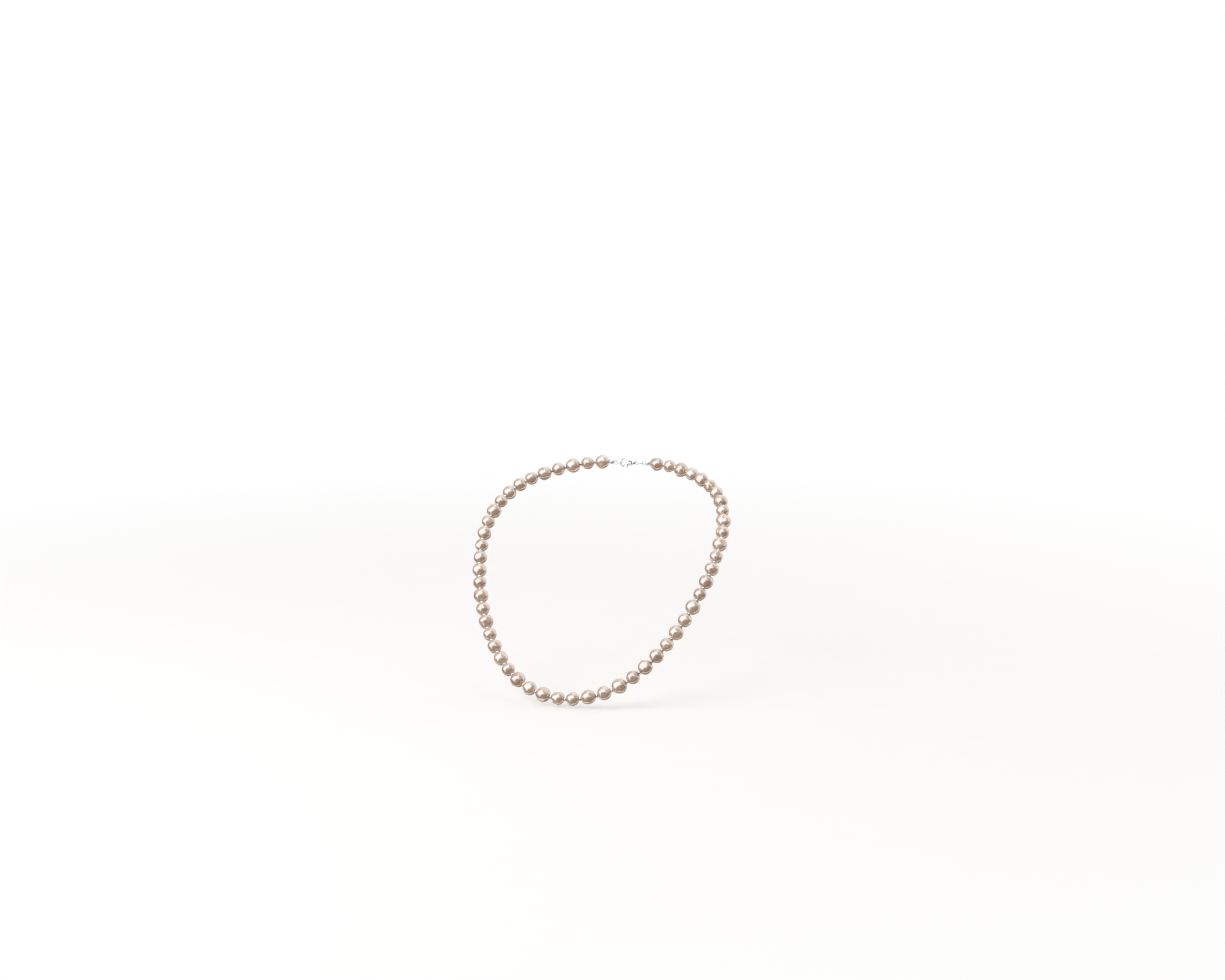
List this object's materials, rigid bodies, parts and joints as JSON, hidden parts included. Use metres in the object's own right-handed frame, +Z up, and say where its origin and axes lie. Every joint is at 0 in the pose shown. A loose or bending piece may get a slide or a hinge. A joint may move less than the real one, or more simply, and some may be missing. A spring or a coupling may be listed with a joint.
{
  "type": "pearl necklace",
  "caption": "Single-strand pearl necklace hung as worn, with small silver spacer beads on silk thread and a trigger clasp at the nape.",
  "frame": {"origin": "middle of the clasp at the back of the neck, on the line of the strand", "axes": "+Z up, front of the strand towards -Y, +X to the wearer's left"},
  "size_m": [0.1636, 0.1594, 0.1319],
  "materials": {
    "pearl": "high-lustre nacre, warm cream to taupe",
    "silver": "polished sterling silver",
    "silk": "twisted cream silk thread",
    "spring_steel": "bright spring steel"
  },
  "bodies": {
    "nape": {"pearl_pair_19": "pearl", "pearl_pair_20": "pearl", "pearl_pair_21": "pearl", "pearl_pair_22": "pearl", "pearl_pair_23": "pearl", "pearl_pair_24": "pearl", "pearl_pair_25": "pearl", "pearl_pair_26": "pearl", "pearl_pair_27": "pearl", "spacer_beads_nape": "silver", "silk_thread_nape": "silk", "bead_tip_left": "silver", "bead_tip_right": "silver", "end_knots": "silk"},
    "drape_1": {"pearl_pair_17": "pearl", "pearl_pair_18": "pearl", "spacer_beads_1": "silver", "silk_thread_1": "silk"},
    "drape_2": {"pearl_pair_15": "pearl", "pearl_pair_16": "pearl", "spacer_beads_2": "silver", "silk_thread_2": "silk"},
    "drape_3": {"pearl_pair_13": "pearl", "pearl_pair_14": "pearl", "spacer_beads_3": "silver", "silk_thread_3": "silk"},
    "drape_4": {"pearl_pair_11": "pearl", "pearl_pair_12": "pearl", "spacer_beads_4": "silver", "silk_thread_4": "silk"},
    "drape_5": {"pearl_pair_09": "pearl", "pearl_pair_10": "pearl", "spacer_beads_5": "silver", "silk_thread_5": "silk"},
    "drape_6": {"pearl_pair_07": "pearl", "pearl_pair_08": "pearl", "spacer_beads_6": "silver", "silk_thread_6": "silk"},
    "drape_7": {"pearl_pair_05": "pearl", "pearl_pair_06": "pearl", "spacer_beads_7": "silver", "silk_thread_7": "silk"},
    "drape_8": {"pearl_pair_03": "pearl", "pearl_pair_04": "pearl", "spacer_beads_8": "silver", "silk_thread_8": "silk"},
    "drape_9": {"pearl_pair_01": "pearl", "pearl_pair_02": "pearl", "spacer_beads_9": "silver", "silk_thread_9": "silk"},
    "clasp": {"clasp_body": "silver", "clasp_pin": "silver", "clasp_spring": "spring_steel", "clasp_ring": "silver", "catch_ring": "silver"},
    "clasp_trigger": {"clasp_lever": "silver"}
  },
  "joints": [
    {"name": "bend_1", "type": "hinge", "parent": "nape", "child": "drape_1", "pos_m": [0, -0.05157, -0.02394], "axis": [-1, 0, 0], "range_deg": [0, 12]},
    {"name": "bend_2", "type": "hinge", "parent": "drape_1", "child": "drape_2", "pos_m": [0, -0.06783, -0.03558], "axis": [-1, 0, 0], "range_deg": [0, 12]},
    {"name": "bend_3", "type": "hinge", "parent": "drape_2", "child": "drape_3", "pos_m": [0, -0.08261, -0.0485], "axis": [-1, 0, 0], "range_deg": [0, 12]},
    {"name": "bend_4", "type": "hinge", "parent": "drape_3", "child": "drape_4", "pos_m": [0, -0.09659, -0.06227], "axis": [-1, 0, 0], "range_deg": [0, 12]},
    {"name": "bend_5", "type": "hinge", "parent": "drape_4", "child": "drape_5", "pos_m": [0, -0.10967, -0.07606], "axis": [-1, 0, 0], "range_deg": [0, 12]},
    {"name": "bend_6", "type": "hinge", "parent": "drape_5", "child": "drape_6", "pos_m": [0, -0.12211, -0.08956], "axis": [-1, 0, 0], "range_deg": [0, 12]},
    {"name": "bend_7", "type": "hinge", "parent": "drape_6", "child": "drape_7", "pos_m": [0, -0.13322, -0.10187], "axis": [-1, 0, 0], "range_deg": [0, 12]},
    {"name": "bend_8", "type": "hinge", "parent": "drape_7", "child": "drape_8", "pos_m": [0, -0.14295, -0.11295], "axis": [-1, 0, 0], "range_deg": [0, 12]},
    {"name": "bend_9", "type": "hinge", "parent": "drape_8", "child": "drape_9", "pos_m": [0, -0.14979, -0.12109], "axis": [-1, 0, 0], "range_deg": [0, 12]},
    {"name": "clasp_turn", "type": "hinge", "parent": "nape", "child": "clasp", "pos_m": [0, 0, 0], "axis": [1, 0, 0], "range_deg": [-30, 30]},
    {"name": "trigger_press", "type": "hinge", "parent": "clasp", "child": "clasp_trigger", "pos_m": [-0.00038, 0, -0.00145], "axis": [0, 1, 0], "range_deg": [0, 20], "stiffness_Nm_per_rad": 0.002, "springref_deg": -20.05, "deforming": ["clasp_spring"]}
  ]
}
